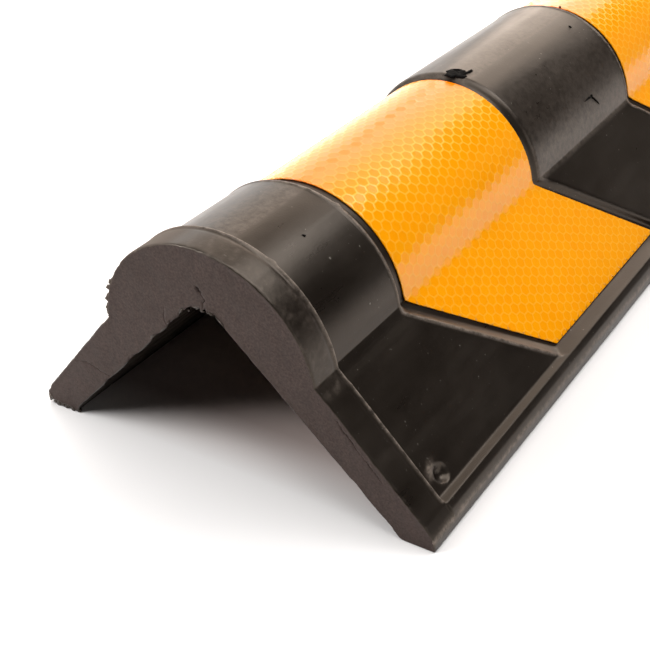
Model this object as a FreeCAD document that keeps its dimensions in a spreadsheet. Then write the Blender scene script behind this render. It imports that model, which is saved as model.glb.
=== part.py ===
"""Rubber corner guard with a round nose and four reflective sheets.

The guard stands like a tent on its two flange tips: X runs across, Y along the
length, Z up. The origin lies on the floor under the middle of the guard.
Two coordinates describe a point on the right-hand flange:
  run   - distance up the flange from the outer tip corner,
  level - height above the end strips (panels and pockets lie below them).
"""
import FreeCAD
import Part
import math
import os
import Sketcher

SIZES = {
    # overall section
    "length": 800.0,
    "apex_height": 67.2,          # where the two inner faces would meet
    "apex_flat": 4.2,             # half width of the flat inside the apex
    "foot_inner": 66.0,
    "foot_outer": 79.2,
    "foot_chamfer": 1.8,
    "foot_edge": 1.0,
    "tip_across": 78.9,
    "tip_height": 5.8,
    "flange_angle": 42.0,         # outer flange faces, from the vertical
    "nose_height": 44.6,          # axis of the round nose
    "strip_nose_radius": 40.6,
    "collar_nose_radius": 38.7,
    "pocket_nose_radius": 36.4,
    # levels along the length
    "strip_width": 12.3,
    "panel_drop": 1.6,
    "pocket_drop": 4.3,
    "lip_raise": 0.8,
    "lip_inner_run": 4.2,
    "lip_outer_run": 2.0,
    "lip_shoulder": 4.4,
    # reflective sheets
    "first_sheet": 54.8,          # from the near end to the first sheet, at the crease
    "sheet_length": 93.5,
    "sheet_pitch": 188.5,
    "sheet_thickness": 0.6,
    "sheet_edge_gap": 0.1,
    "pocket_near_gap": 2.6,
    "pocket_far_gap": 0.8,
    "pocket_clearance": 5.6,      # height of the cutting shape above the pocket floor
    # fixing dimples
    "dimple_radius": 4.0,
    "dimple_depth": 2.2,
    "dimple_end_distance": 19.8,
    "dimple_run": 11.2,
}
SHEET_COUNT = 4

DOCUMENT = FreeCAD.newDocument("corner_guard")


def make_dimensions():
    """Put every driving size in the spreadsheet."""
    table = DOCUMENT.addObject("Spreadsheet::Sheet", "Dims")
    for row, (name, value) in enumerate(SIZES.items(), start=1):
        table.set("A%d" % row, name)
        table.set("B%d" % row, "%g" % value)
        table.setAlias("B%d" % row, name)
    DOCUMENT.recompute()
    return table


DIMENSIONS = make_dimensions()


def size(name):
    """Current value of a driving size."""
    return float(DIMENSIONS.get(name))


def cell(name):
    """How an expression names a driving size."""
    return "Dims." + name


ANGLE = math.radians(size("flange_angle"))
SINE = "sin(Dims.flange_angle)"
COSINE = "cos(Dims.flange_angle)"
# the tip corner as seen from the nose axis, along and off the flange
TIP_OFF = "(Dims.tip_across * %s + (Dims.tip_height - Dims.nose_height) * %s)" % (COSINE, SINE)
TIP_ALONG = "(Dims.tip_across * %s - (Dims.tip_height - Dims.nose_height) * %s)" % (SINE, COSINE)


class Length:
    """A length as a number together with the expression that drives it."""

    def __init__(self, value, text):
        self.value = value
        self.text = text

    def __add__(self, other):
        return Length(self.value + other.value, "(%s + %s)" % (self.text, other.text))

    def __sub__(self, other):
        return Length(self.value - other.value, "(%s - %s)" % (self.text, other.text))

    def times(self, factor):
        return Length(self.value * factor, "(%s * %.12g)" % (self.text, factor))


def dim(name):
    return Length(size(name), cell(name))


def zero():
    return Length(0.0, "0")


def flange_point(run, level):
    """Across and up coordinates of a point given by its run and level."""
    across = size("tip_across") - run.value * math.sin(ANGLE) + level.value * math.cos(ANGLE)
    up = size("tip_height") + run.value * math.cos(ANGLE) + level.value * math.sin(ANGLE)
    across_text = "(Dims.tip_across - %s * %s + %s * %s)" % (run.text, SINE, level.text, COSINE)
    up_text = "(Dims.tip_height + %s * %s + %s * %s)" % (run.text, COSINE, level.text, SINE)
    return Length(across, across_text), Length(up, up_text)


def crease_run(radius, level):
    """Run at which a nose of this radius meets the flange face at this level."""
    drop = size("tip_height") - size("nose_height")
    off = size("tip_across") * math.cos(ANGLE) + drop * math.sin(ANGLE)
    along = size("tip_across") * math.sin(ANGLE) - drop * math.cos(ANGLE)
    value = along - math.sqrt(radius.value ** 2 - (level.value + off) ** 2)
    text = "(%s - sqrt(%s ^ 2 - (%s + %s) ^ 2))" % (TIP_ALONG, radius.text, level.text, TIP_OFF)
    return Length(value, text)


def crease_lean(radius, level):
    """Angle in degrees between the flange normal and the nose radius at the crease."""
    drop = size("tip_height") - size("nose_height")
    off = size("tip_across") * math.cos(ANGLE) + drop * math.sin(ANGLE)
    value = math.degrees(math.acos((level.value + off) / radius.value))
    text = "acos((%s + %s) / %s)" % (level.text, TIP_OFF, radius.text)
    return Length(value, text)


def new_body(name):
    body = DOCUMENT.addObject("PartDesign::Body", name)
    body.Label = name
    return body


def origin_plane(body, role):
    for feature in body.Origin.OriginFeatures:
        if feature.Role == role:
            return feature
    raise RuntimeError("no plane " + role)


def new_sketch(body, name, role, offset, offset_texts):
    """Sketch on one of the body's own planes, moved by an offset held in expressions."""
    sketch = body.newObject("Sketcher::SketchObject", name)
    sketch.AttachmentSupport = [(origin_plane(body, role), "")]
    sketch.MapMode = "FlatFace"
    sketch.AttachmentOffset = offset
    for axis, text in offset_texts.items():
        sketch.setExpression("AttachmentOffset.Base." + axis, text)
    return sketch


def pin(sketch, geometry, vertex, across, up):
    """Hold one vertex at driven coordinates."""
    for kind, length in (("DistanceX", across), ("DistanceY", up)):
        index = sketch.addConstraint(Sketcher.Constraint(kind, -1, 1, geometry, vertex, length.value))
        sketch.setExpression("Constraints[%d]" % index, length.text)


def draw_polygon(sketch, corners):
    """Closed polygon whose corners all sit at driven coordinates."""
    points = [FreeCAD.Vector(across.value, up.value, 0) for across, up in corners]
    lines = []
    for index, start in enumerate(points):
        end = points[(index + 1) % len(points)]
        lines.append(sketch.addGeometry(Part.LineSegment(start, end), False))
    for index, line in enumerate(lines):
        following = lines[(index + 1) % len(lines)]
        sketch.addConstraint(Sketcher.Constraint("Coincident", line, 2, following, 1))
    for line, corner in zip(lines, corners):
        pin(sketch, line, 1, corner[0], corner[1])


def draw_section(sketch, radius, right_side):
    """Whole guard section: inner faces, feet, flanges and the round nose on top.

    right_side lists the corners from the apex flat down to the foot and up to the crease.
    """
    left_side = [(zero() - across, up) for across, up in reversed(right_side)]
    corners = right_side + left_side
    points = [FreeCAD.Vector(across.value, up.value, 0) for across, up in corners]
    last_right = len(right_side) - 1
    lines = []
    for index in range(len(points)):
        if index == last_right:
            centre = FreeCAD.Vector(0, size("nose_height"), 0)
            start = points[index] - centre
            end = points[index + 1] - centre
            circle = Part.Circle(centre, FreeCAD.Vector(0, 0, 1), radius.value)
            first = math.atan2(start.y, start.x)
            second = math.atan2(end.y, end.x)
            lines.append(sketch.addGeometry(Part.ArcOfCircle(circle, first, second), False))
            continue
        following = points[(index + 1) % len(points)]
        lines.append(sketch.addGeometry(Part.LineSegment(points[index], following), False))
    for index, line in enumerate(lines):
        following = lines[(index + 1) % len(lines)]
        sketch.addConstraint(Sketcher.Constraint("Coincident", line, 2, following, 1))
    for index, corner in enumerate(corners):
        if index == last_right + 1:
            continue
        pin(sketch, lines[index], 1, corner[0], corner[1])
    arc = lines[last_right]
    pin(sketch, arc, 3, zero(), dim("nose_height"))
    across = corners[last_right + 1][0]
    index = sketch.addConstraint(Sketcher.Constraint("DistanceX", -1, 1, arc, 2, across.value))
    sketch.setExpression("Constraints[%d]" % index, across.text)


def inside_and_foot():
    """Corners from the apex flat down the inner face and round the foot."""
    chamfer_top = dim("foot_inner") - dim("foot_chamfer")
    return [
        (dim("apex_flat"), dim("apex_height") - dim("apex_flat")),
        (chamfer_top, dim("apex_height") - chamfer_top),
        (dim("foot_inner"), zero()),
        (dim("foot_outer") - dim("foot_edge"), zero()),
        (dim("foot_outer"), dim("foot_edge")),
    ]


def pad(body, name, sketch, length_text, reverse):
    feature = body.newObject("PartDesign::Pad", name)
    feature.Profile = sketch
    feature.Type = 0
    feature.Length = 10
    feature.setExpression("Length", length_text)
    feature.Reversed = reverse
    sketch.Visibility = False
    DOCUMENT.recompute()
    return feature


def add_main_section(body):
    """Length between the end strips: collar nose, panels and raised lips."""
    raised = dim("lip_raise")
    panel = zero() - dim("panel_drop")
    foot_run = dim("lip_inner_run") + dim("lip_raise") + dim("panel_drop")
    radius = dim("collar_nose_radius")
    right_side = inside_and_foot()
    right_side.append((dim("foot_outer"), dim("lip_shoulder")))
    right_side.append(flange_point(dim("lip_outer_run"), raised))
    right_side.append(flange_point(dim("lip_inner_run"), raised))
    right_side.append(flange_point(foot_run, panel))
    right_side.append(flange_point(crease_run(radius, panel), panel))
    offset = FreeCAD.Placement(FreeCAD.Vector(0, 0, -size("length") / 2 + size("strip_width")),
                               FreeCAD.Rotation())
    # the XZ plane looks towards -Y, so its local height is minus Y
    sketch = new_sketch(body, "main_section", "XZ_Plane", offset,
                        {"z": "Dims.length / 2 - Dims.strip_width"})
    draw_section(sketch, radius, right_side)
    pad(body, "main_length", sketch, "Dims.length - 2 * Dims.strip_width", True)


def add_end_strip(body, name, from_middle_text, reverse):
    """Full-height strip that closes one end."""
    radius = dim("strip_nose_radius")
    right_side = inside_and_foot()
    right_side.append((dim("foot_outer"), dim("lip_shoulder")))
    right_side.append(flange_point(dim("foot_edge"), zero()))
    right_side.append(flange_point(crease_run(radius, zero()), zero()))
    sketch = new_sketch(body, name + "_section", "XZ_Plane", FreeCAD.Placement(),
                        {"z": from_middle_text})
    draw_section(sketch, radius, right_side)
    pad(body, name, sketch, cell("strip_width"), reverse)


def sheet_start(index):
    """Position along Y of a sheet's near edge at the crease."""
    value = -size("length") / 2 + size("first_sheet") + index * size("sheet_pitch")
    text = "(Dims.first_sheet - Dims.length / 2 + %d * Dims.sheet_pitch)" % index
    return Length(value, text)


def nose_sketch(body, name):
    """Sketch in the middle plane, its own X axis lying along the nose axis."""
    offset = FreeCAD.Placement(FreeCAD.Vector(0, size("nose_height"), 0), FreeCAD.Rotation())
    return new_sketch(body, name, "YZ_Plane", offset, {"y": cell("nose_height")})


def flange_sketch(body, name, level, side):
    """Sketch on a plane parallel to one flange: X along Y, Y up the flange.

    side is 1 for the right-hand flange and -1 for the left-hand one.
    """
    turn = FreeCAD.Rotation(FreeCAD.Vector(1, 0, 0), -side * size("flange_angle"))
    across, up = flange_point(zero(), level)
    offset = FreeCAD.Placement(FreeCAD.Vector(0, up.value, side * across.value), turn)
    sketch = new_sketch(body, name, "YZ_Plane", offset,
                        {"y": up.text, "z": "%d * %s" % (side, across.text)})
    sketch.setExpression("AttachmentOffset.Rotation.Axis.x", "%d" % -side)
    sketch.setExpression("AttachmentOffset.Rotation.Angle", cell("flange_angle"))
    return sketch


def sweep_angle():
    """Angle of the nose between the two creases of a pocket floor."""
    floor = zero() - dim("pocket_drop")
    lean = crease_lean(dim("pocket_nose_radius"), floor)
    value = 180.0 - 2.0 * (size("flange_angle") - lean.value)
    text = "180 deg - 2 * (Dims.flange_angle * 1 deg - %s)" % lean.text
    return Length(value, text)


def slanted(edge, shift, crease, run):
    """Position along Y of a 45 degree edge, set back from the crease position."""
    return edge + shift + (crease - run)


def pocket_outline(start, crease, top_run, lip_run, widening):
    """Four corners of a flange pocket on one level."""
    diagonal = math.sqrt(2.0)
    near_shift = zero() - dim("pocket_near_gap").times(diagonal) - widening.times(diagonal)
    far_shift = dim("pocket_far_gap").times(diagonal) + widening.times(diagonal)
    far = start + dim("sheet_length")
    return [
        (slanted(start, near_shift, crease, top_run), top_run),
        (slanted(start, near_shift, crease, lip_run), lip_run),
        (slanted(far, far_shift, crease, lip_run), lip_run),
        (slanted(far, far_shift, crease, top_run), top_run),
    ]


def cut_nose_pocket(body, index):
    """Shallow seat with 45 degree walls round the nose."""
    start = sheet_start(index)
    near = start - dim("pocket_near_gap")
    far = start + dim("sheet_length") + dim("pocket_far_gap")
    floor = dim("pocket_nose_radius")
    clearance = dim("pocket_clearance")
    sketch = nose_sketch(body, "nose_pocket_%d_profile" % (index + 1))
    draw_polygon(sketch, [
        (near, floor),
        (far, floor),
        (far + clearance, floor + clearance),
        (near - clearance, floor + clearance),
    ])
    groove = body.newObject("PartDesign::Groove", "nose_pocket_%d" % (index + 1))
    groove.Profile = sketch
    groove.ReferenceAxis = (sketch, ["H_Axis"])
    groove.Angle = sweep_angle().value
    groove.setExpression("Angle", sweep_angle().text)
    groove.Midplane = True
    sketch.Visibility = False
    DOCUMENT.recompute()
    return groove


def cut_flange_pocket(body, index, side):
    """Seat with sloping walls on one flange, from the crease to the lip."""
    start = sheet_start(index)
    floor = zero() - dim("pocket_drop")
    clearance = dim("pocket_clearance")
    crease = crease_run(dim("pocket_nose_radius"), floor)
    lean = crease_lean(dim("pocket_nose_radius"), floor)
    lip_foot = dim("lip_inner_run") + dim("lip_raise") + dim("pocket_drop")
    top_crease_value = crease.value - clearance.value * math.tan(math.radians(lean.value))
    top_crease_text = "(%s - %s * tan(%s))" % (crease.text, clearance.text, lean.text)
    top_crease = Length(top_crease_value, top_crease_text)
    name = "%s_flange_pocket_%d" % ("right" if side > 0 else "left", index + 1)
    low = flange_sketch(body, name + "_floor", floor, side)
    draw_polygon(low, pocket_outline(start, crease, crease, lip_foot, zero()))
    high = flange_sketch(body, name + "_top", floor + clearance, side)
    draw_polygon(high, pocket_outline(start, crease, top_crease, lip_foot - clearance, clearance))
    loft = body.newObject("PartDesign::SubtractiveLoft", name)
    loft.Profile = low
    loft.Sections = [high]
    loft.Ruled = True
    low.Visibility = False
    high.Visibility = False
    DOCUMENT.recompute()
    return loft


def cut_dimple(body, name, along):
    """Shallow round dimple that marks a fixing point on the right-hand panel."""
    depth = dim("dimple_depth")
    radius = dim("dimple_radius")
    ball_value = (radius.value ** 2 + depth.value ** 2) / (2.0 * depth.value)
    ball_text = "((%s ^ 2 + %s ^ 2) / (2 * %s))" % (radius.text, depth.text, depth.text)
    ball = Length(ball_value, ball_text)
    level = ball - depth - dim("panel_drop")
    across, up = flange_point(dim("dimple_run"), level)
    sphere = body.newObject("PartDesign::SubtractiveSphere", name)
    sphere.Radius = ball.value
    sphere.setExpression("Radius", ball.text)
    sphere.AttachmentSupport = [(origin_plane(body, "XY_Plane"), "")]
    sphere.MapMode = "FlatFace"
    sphere.AttachmentOffset = FreeCAD.Placement(
        FreeCAD.Vector(across.value, along.value, up.value), FreeCAD.Rotation())
    sphere.setExpression("AttachmentOffset.Base.x", across.text)
    sphere.setExpression("AttachmentOffset.Base.y", along.text)
    sphere.setExpression("AttachmentOffset.Base.z", up.text)
    DOCUMENT.recompute()
    return sphere


def mirror_to_left(body, name, originals):
    """Copy right-hand cuts to the left-hand flange."""
    mirrored = body.newObject("PartDesign::Mirrored", name)
    mirrored.Originals = originals
    mirrored.MirrorPlane = (origin_plane(body, "YZ_Plane"), [""])
    body.Tip = mirrored
    DOCUMENT.recompute()
    return mirrored


def make_rubber_body():
    body = new_body("rubber_body")
    add_main_section(body)
    add_end_strip(body, "near_strip", "Dims.length / 2", True)
    add_end_strip(body, "far_strip", "-Dims.length / 2", False)
    volumes = [body.Shape.Volume]
    for index in range(SHEET_COUNT):
        cut_nose_pocket(body, index)
        volumes.append(body.Shape.Volume)
        for side in (1, -1):
            cut_flange_pocket(body, index, side)
            volumes.append(body.Shape.Volume)
    end_value = size("length") / 2 - size("dimple_end_distance")
    end_text = "(Dims.length / 2 - Dims.dimple_end_distance)"
    dimples = [
        cut_dimple(body, "near_dimple", Length(-end_value, "(-1 * %s)" % end_text)),
        cut_dimple(body, "far_dimple", Length(end_value, end_text)),
    ]
    volumes.append(body.Shape.Volume)
    mirror_to_left(body, "left_dimples", dimples)
    volumes.append(body.Shape.Volume)
    for before, after in zip(volumes, volumes[1:]):
        if after >= before:
            raise RuntimeError("a cut removed nothing")
    return body


def make_sheet(index):
    """One reflective sheet: round the nose and down both flanges in one piece."""
    number = index + 1
    body = new_body("reflective_sheet_%d" % number)
    start = sheet_start(index)
    far = start + dim("sheet_length")
    inner = dim("pocket_nose_radius")
    outer = inner + dim("sheet_thickness")
    floor = zero() - dim("pocket_drop")
    crease = crease_run(inner, floor)
    edge = dim("lip_inner_run") + dim("lip_raise") + dim("pocket_drop") + dim("sheet_edge_gap")
    profile = nose_sketch(body, "nose_band_%d_profile" % number)
    draw_polygon(profile, [(start, inner), (far, inner), (far, outer), (start, outer)])
    band = body.newObject("PartDesign::Revolution", "nose_band_%d" % number)
    band.Profile = profile
    band.ReferenceAxis = (profile, ["H_Axis"])
    band.Angle = sweep_angle().value
    band.setExpression("Angle", sweep_angle().text)
    band.Midplane = True
    profile.Visibility = False
    DOCUMENT.recompute()
    outline = flange_sketch(body, "flange_leaf_%d_outline" % number, floor, 1)
    draw_polygon(outline, [
        (start, crease),
        (slanted(start, zero(), crease, edge), edge),
        (slanted(far, zero(), crease, edge), edge),
        (far, crease),
    ])
    leaf = pad(body, "flange_leaf_%d" % number, outline, cell("sheet_thickness"), False)
    mirror_to_left(body, "left_leaf_%d" % number, [leaf])
    return body


def export_parts(bodies):
    """Check every object, then write one STEP file per sub-part."""
    DOCUMENT.recompute()
    for item in DOCUMENT.Objects:
        if "Invalid" in item.State or "Error" in item.State:
            raise RuntimeError("bad state in " + item.Name)
    os.makedirs("parts", exist_ok=True)
    for body in bodies:
        shape = body.Shape
        if shape.isNull() or not shape.isValid() or len(shape.Solids) != 1:
            raise RuntimeError("bad shape in " + body.Label)
        shape.exportStep("parts/%s.step" % body.Label)
        box = shape.BoundBox
        print(body.Label, "volume %.1f" % shape.Volume,
              "box", [round(value, 2) for value in (box.XMin, box.XMax, box.YMin, box.YMax, box.ZMin, box.ZMax)])


BODIES = [make_rubber_body()]
for sheet_index in range(SHEET_COUNT):
    BODIES.append(make_sheet(sheet_index))
export_parts(BODIES)
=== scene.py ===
"""Looks of the rubber corner guard: the moulded rubber body and its four honeycomb sheets.

Lengths are in millimetres while a shape is worked out and become metres in its mesh.
"Across" is X, "along" is Y counted from the near end, "up" is Z.
"""
import math

import bmesh
import bpy
import numpy as np
from mathutils import Euler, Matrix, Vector, noise
from mathutils.geometry import delaunay_2d_cdt, intersect_line_line_2d


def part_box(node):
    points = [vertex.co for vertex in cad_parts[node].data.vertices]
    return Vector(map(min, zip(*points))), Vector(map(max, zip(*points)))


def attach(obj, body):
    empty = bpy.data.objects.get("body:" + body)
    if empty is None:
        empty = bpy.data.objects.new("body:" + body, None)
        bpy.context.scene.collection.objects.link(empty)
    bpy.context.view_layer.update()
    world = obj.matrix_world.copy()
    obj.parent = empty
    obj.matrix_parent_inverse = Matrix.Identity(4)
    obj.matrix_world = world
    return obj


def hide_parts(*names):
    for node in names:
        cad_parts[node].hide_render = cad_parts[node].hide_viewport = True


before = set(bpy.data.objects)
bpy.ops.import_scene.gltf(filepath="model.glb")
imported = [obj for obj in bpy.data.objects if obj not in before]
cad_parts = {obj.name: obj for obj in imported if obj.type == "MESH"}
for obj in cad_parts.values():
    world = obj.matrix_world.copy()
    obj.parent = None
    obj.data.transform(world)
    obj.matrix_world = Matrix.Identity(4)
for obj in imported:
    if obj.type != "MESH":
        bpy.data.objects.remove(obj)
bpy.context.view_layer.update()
METRE = 0.001

# ---------------------------------------------------------------- sizes read from the frame
BODY_LOW, BODY_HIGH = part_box("rubber_body")
LENGTH = (BODY_HIGH.y - BODY_LOW.y) / METRE
FOOT_OUTER = BODY_HIGH.x / METRE
TOP = BODY_HIGH.z / METRE
SHEET_NODES = sorted(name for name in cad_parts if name.startswith("reflective_sheet"))
SHEET_STARTS = [(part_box(name)[0].y - BODY_LOW.y) / METRE for name in SHEET_NODES]

# ---------------------------------------------------------------- sizes of the section
FLANGE_ANGLE = math.radians(42.0)     # the outer faces' lean from the vertical
OUTWARD = np.array([math.cos(FLANGE_ANGLE), math.sin(FLANGE_ANGLE)])
UPWARD = np.array([-math.sin(FLANGE_ANGLE), math.cos(FLANGE_ANGLE)])
TIP = np.array([78.9, 5.8])           # where a flange's outer face starts, across and up
STRIP_RADIUS = 40.6
COLLAR_RADIUS = 38.7
POCKET_RADIUS = 36.4
NOSE_HEIGHT = TOP - STRIP_RADIUS
APEX = 67.2                           # height at which the inner faces would meet
APEX_FLAT = 4.2                       # half of the flat that cuts the apex off
FOOT_INNER = 66.0
FOOT_CHAMFER = 1.8
SHOULDER = 4.4                        # height of the upright edge of a foot
STRIP_WIDTH = 12.3
PANEL_DROP = 1.6                      # panels and pockets lie this far below the end strips
POCKET_DROP = 4.3
LIP_RAISE = 0.8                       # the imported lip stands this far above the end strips
LIP_INNER = 4.2                       # run at which the lip ends
LIP_TOP = 0.5                         # levels of its inner and outer corner: it slopes a little
LIP_SIDE = 0.35
LIP_OUTER = 1.6                       # run of its outer corner
SHEET_LENGTH = 93.5
SHEET_THICKNESS = 0.6
SHEET_EDGE_GAP = 0.1
NEAR_GAP = 2.6                        # from a sheet's ends to the foot of the pocket's walls
FAR_GAP = 0.8
DIMPLE_RUN = 11.2                     # place of a dimple up the flange and from the end face
DIMPLE_END = 19.8
DIMPLE_RADIUS = 3.2
DIMPLE_DEPTH = 2.1


def bell(value, centre, width):
    """Smooth bump, 1 at its centre."""
    return np.exp(-((value - centre) / width) ** 2)


def soft_step(value, centre, width):
    """Rises smoothly from 0 to 1, or falls where width is negative."""
    return 1 / (1 + np.exp(np.clip(-(value - centre) / width, -60.0, 60.0)))


def noise_at(places, scale):
    """Smooth noise at each (x, y, z), with its own scale along every axis."""
    return np.array([noise.noise([a * b for a, b in zip(place, scale)]) for place in places])


def add_object(name, data):
    made = bpy.data.objects.new(name, data)
    bpy.context.scene.collection.objects.link(made)
    return made


def add_mesh(name, points, faces):
    """Mesh in metres from points in millimetres, with along counted from the near end."""
    mesh = bpy.data.meshes.new(name)
    mesh.from_pydata([(x * METRE, y * METRE + BODY_LOW.y, z * METRE) for x, y, z in points], [], faces)
    return mesh


def add_values(mesh, name, values, domain="POINT"):
    """Number at each point or face of a mesh, for its material to read."""
    mesh.attributes.new(name, "FLOAT", domain).data.foreach_set("value", values)


CAMERA_PLACE = (0.2158, -0.6186, 0.2574)
CAMERA_LENS = 65.58                   # in millimetres, for a sensor 36 mm wide
CAMERA_SHIFT = -0.25
CAMERA_DOWN = 34.09                   # degrees below the horizon
CAMERA_TURN = 28.44                   # degrees to the left of +Y
CAMERA_ROLL = -0.19


def add_camera():
    """Camera at the picture's viewing angle. The picture is a crop, so its axis lies off centre."""
    data = bpy.data.cameras.new("camera")
    data.sensor_width = 36.0
    data.lens = CAMERA_LENS
    data.shift_x = CAMERA_SHIFT
    data.clip_start = 0.01
    camera = add_object("camera", data)
    camera.location = CAMERA_PLACE
    turn = Euler((math.radians(90.0 - CAMERA_DOWN), 0.0, math.radians(CAMERA_TURN)), "XYZ")
    roll = Euler((0.0, 0.0, math.radians(CAMERA_ROLL)), "XYZ")
    camera.rotation_euler = (turn.to_matrix() @ roll.to_matrix()).to_euler()
    bpy.context.scene.camera = camera


add_camera()


# ---------------------------------------------------------------- section of the body
def flange_point(run, level):
    """Point on the right-hand flange: run up it from the tip, level off its end strips."""
    return TIP + UPWARD * run + OUTWARD * level


def crease_run(radius, level):
    """Run at which a nose of this radius meets the flange face at this level."""
    centre = np.array([0.0, NOSE_HEIGHT])
    off = level + (TIP - centre) @ OUTWARD
    along = (centre - TIP) @ UPWARD
    return along - math.sqrt(radius ** 2 - off ** 2)


def nose_point(radius, angle):
    return np.array([radius * math.cos(angle), NOSE_HEIGHT + radius * math.sin(angle)])


FREE_NOSE = math.radians(20.0)        # below this the nose points crowd towards the crease
CROWDED_POINTS = 8
NOSE_ANGLES = [math.radians(angle) for angle in np.linspace(20.0, 90.0, 40)]
CREASE_CUT = 0.35
CREASE_POINTS = 4


def bend(before, corner, after, cut, count):
    """Rounded corner: a short curve from one side of it to the other."""
    into = (before - corner) / np.linalg.norm(before - corner)
    out = (after - corner) / np.linalg.norm(after - corner)
    start = corner + into * cut
    end = corner + out * cut
    steps = np.linspace(0.0, 1.0, count)
    return [start * (1 - t) ** 2 + corner * 2 * t * (1 - t) + end * t ** 2 for t in steps]


def section_corners(flange_level, lip_level, outer_run, outer_level, crease):
    """Corners of the right half: place, rounding, points of the rounding, points before it, crowding."""
    chamfer_top = FOOT_INNER - FOOT_CHAMFER
    lip_foot = LIP_INNER + max(LIP_RAISE + PANEL_DROP, lip_level - flange_level)
    return [
        (np.array([APEX_FLAT, APEX - APEX_FLAT]), 0.6, 4, 5, 1.0),
        (np.array([chamfer_top, APEX - chamfer_top]), 0.7, 3, 34, 1.25),
        (np.array([FOOT_INNER, 0.0]), 2.4, 5, 1, 1.0),
        (np.array([FOOT_OUTER, 0.0]), 0.9, 5, 6, 1.0),
        (np.array([FOOT_OUTER, SHOULDER]), 1.2, 4, 1, 1.0),
        (flange_point(outer_run, outer_level), 0.7, 4, 1, 1.0),
        (flange_point(LIP_INNER, lip_level), 0.45, 4, 1, 1.0),
        (flange_point(lip_foot, flange_level), 0.6, 4, 2, 1.0),
        (crease, CREASE_CUT, CREASE_POINTS, 34, 1.35),
    ]


def half_section(nose_radius, flange_level, lip_level, outer_run, outer_level):
    """Right half of the section, from the apex round the foot to the top of the nose.

    Every call gives the same number of points, so that two sections can be joined.
    """
    crease = flange_point(crease_run(nose_radius, flange_level), flange_level)
    crease_angle = math.atan2(crease[1] - NOSE_HEIGHT, crease[0])
    corners = section_corners(flange_level, lip_level, outer_run, outer_level, crease)
    places = [np.array([0.0, APEX - APEX_FLAT])]
    places += [corner[0] for corner in corners]
    places.append(nose_point(nose_radius, crease_angle + 0.03))
    points = [places[0]]
    for index, (place, cut, count, between, crowding) in enumerate(corners, start=1):
        rounded = bend(places[index - 1], place, places[index + 1], cut, count)
        first = points[-1]
        for step in range(1, between + 1):
            share = (step / (between + 1)) ** crowding
            points.append(first * (1 - share) + rounded[0] * share)
        points.extend(rounded)
    lowest = crease_angle + CREASE_CUT / nose_radius
    for step in range(1, CROWDED_POINTS + 1):
        share = step / (CROWDED_POINTS + 1)
        points.append(nose_point(nose_radius, lowest + (FREE_NOSE - lowest) * share))
    points.extend(nose_point(nose_radius, angle) for angle in NOSE_ANGLES)
    return np.array(points)


def whole_section(half):
    """Closed loop: the right half and its mirror image."""
    mirrored = half[-2:0:-1] * np.array([-1.0, 1.0])
    return np.vstack([half, mirrored])


def mixed_section(first, second, share):
    """Section part of the way between two stages, each given by its five sizes."""
    sizes = [a * (1 - share) + b * share for a, b in zip(first, second)]
    return half_section(*sizes)


# Nose radius, flange level, level of the lip, then run and level of its outer corner.
STRIP = (STRIP_RADIUS, 0.0, 0.0, 1.0, -0.4)
PANEL = (COLLAR_RADIUS, -PANEL_DROP, LIP_TOP, LIP_OUTER, LIP_SIDE)
POCKET = (POCKET_RADIUS, -POCKET_DROP, LIP_TOP, LIP_OUTER, LIP_SIDE)


def outward_normals(loop):
    """Unit normals of a closed loop that keeps the solid on its left."""
    step = np.roll(loop, -1, axis=0) - np.roll(loop, 1, axis=0)
    normal = np.stack([step[:, 1], -step[:, 0]], axis=1)
    return normal / np.maximum(np.linalg.norm(normal, axis=1), 1e-9)[:, None]


# ---------------------------------------------------------------- stations along the body
def slant_reach():
    """How far a 45 degree edge moves each point of the loop, its flange share and its lip share."""
    half = half_section(*PANEL)
    crease = crease_run(COLLAR_RADIUS, -PANEL_DROP)
    run = (half - TIP) @ UPWARD
    outer_start = int(np.argmax(half[:, 0]))
    nose_start = len(half) - len(NOSE_ANGLES) - CROWDED_POINTS - (CREASE_POINTS - 1)
    reach = np.zeros(len(half))
    lip_reach = crease - LIP_INNER
    reach[:outer_start] = lip_reach * np.arange(outer_start) / outer_start
    outside = slice(outer_start, nose_start)
    reach[outside] = np.clip(crease - run[outside], 0.0, lip_reach)
    on_flange = np.clip(reach / 3.0, 0.0, 1.0)
    on_lip = np.clip(LIP_INNER + LIP_OUTER - run, 0.0, 1.0)
    on_lip[:outer_start] = 1.0
    on_lip[nose_start:] = 0.0
    return [np.concatenate([values, values[-2:0:-1]]) for values in (reach, on_flange, on_lip)]


REACH, FLANGE_SHARE, LIP_SHARE = slant_reach()


def rounded_ramp(value, rounding):
    """Rises from 0 to 1 with a soft start and end."""
    if value <= -rounding:
        return 0.0
    if value < rounding:
        return (value + rounding) ** 2 / (4 * rounding)
    if value <= 1 - rounding:
        return value
    if value < 1 + rounding:
        return 1 - (1 + rounding - value) ** 2 / (4 * rounding)
    return 1.0


def station(along, first, second, share, inset=0.0, bead=0.0, edge_wear_and_highlight=0.0):
    """One ring of points: places along and across, and how rubbed pale its beads are there, partly real
    rubbing and partly a painted highlight line.

    A bead is a share beyond that of the plain step. It stops at the lips.
    """
    plain = whole_section(mixed_section(first, second, share))
    beaded = whole_section(mixed_section(first, second, share + bead))
    loop = plain * LIP_SHARE[:, None] + beaded * (1 - LIP_SHARE[:, None])
    if inset:
        loop = loop - outward_normals(loop) * inset
    return along, loop, edge_wear_and_highlight * (1 - LIP_SHARE)


CRISP_STEPS = (-0.9, -0.62, -0.45, -0.3, -0.15, 0.0, 0.12, 0.3, 0.6, 0.8, 0.95, 1.1, 1.25, 1.6)
SOFT_STEPS = (-0.8, -0.5, -0.3, -0.1, 0.1, 0.3, 0.5, 0.7, 0.9, 1.1, 1.3, 1.5)


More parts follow.
